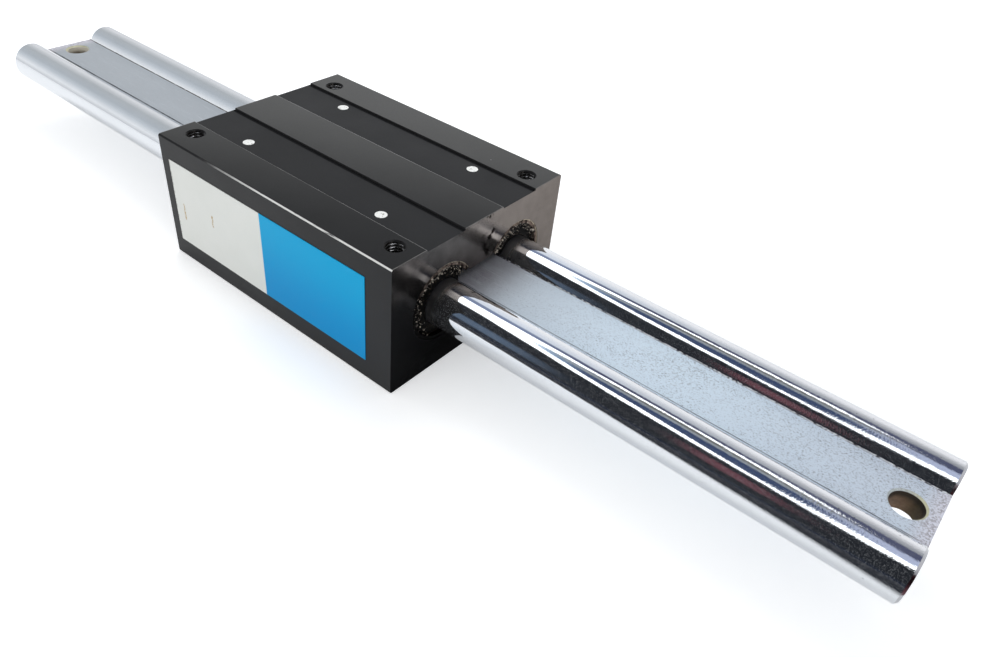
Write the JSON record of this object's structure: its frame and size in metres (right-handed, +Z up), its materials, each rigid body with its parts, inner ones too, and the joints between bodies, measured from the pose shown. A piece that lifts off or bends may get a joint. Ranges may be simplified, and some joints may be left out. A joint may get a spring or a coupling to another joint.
{
  "type": "dual shaft linear rail",
  "caption": "Linear rail with twin polished shafts joined by a flat drilled web, and a black block carriage that slides along it on open ball bearings.",
  "frame": {"origin": "under the middle of the rail's length and between the shafts, in the plane of the carriage's underside", "axes": "+X along the rail, +Y away from the labelled side of the carriage, +Z up towards the mounting face"},
  "size_m": [0.3174, 0.066, 0.0381],
  "materials": {
    "web_steel": "cold drawn, bare",
    "shaft_steel": "hardened, ground and polished",
    "black_anodised": "satin black anodised",
    "label_film": "two plain fields, pale and blue",
    "bearing_steel": "hardened and ground",
    "cage_plastic": "moulded",
    "ball_steel": "polished",
    "seal_rubber": "matt wiper in a metal rim",
    "pin_plastic": "smooth"
  },
  "bodies": {
    "rail": {"rail_web": "web_steel", "shaft_front": "shaft_steel", "shaft_rear": "shaft_steel"},
    "carriage": {"carriage_body": "black_anodised", "side_label": "label_film", "bearing_sleeve_front_left": "bearing_steel", "bearing_sleeve_front_right": "bearing_steel", "bearing_sleeve_rear_left": "bearing_steel", "bearing_sleeve_rear_right": "bearing_steel", "ball_cage_front_left": "cage_plastic", "ball_cage_front_right": "cage_plastic", "ball_cage_rear_left": "cage_plastic", "ball_cage_rear_right": "cage_plastic", "load_ball_rows_front_left": "ball_steel", "load_ball_rows_front_right": "ball_steel", "load_ball_rows_rear_left": "ball_steel", "load_ball_rows_rear_right": "ball_steel", "end_seal_front_left": "seal_rubber", "end_seal_front_right": "seal_rubber", "end_seal_rear_left": "seal_rubber", "end_seal_rear_right": "seal_rubber", "retaining_pin_front_left": "pin_plastic", "retaining_pin_front_right": "pin_plastic", "retaining_pin_rear_left": "pin_plastic", "retaining_pin_rear_right": "pin_plastic"}
  },
  "joints": [
    {"name": "carriage_slide", "type": "slide", "parent": "rail", "child": "carriage", "axis": [1, 0, 0], "range_m": [-0.1113, 0.1173]}
  ]
}
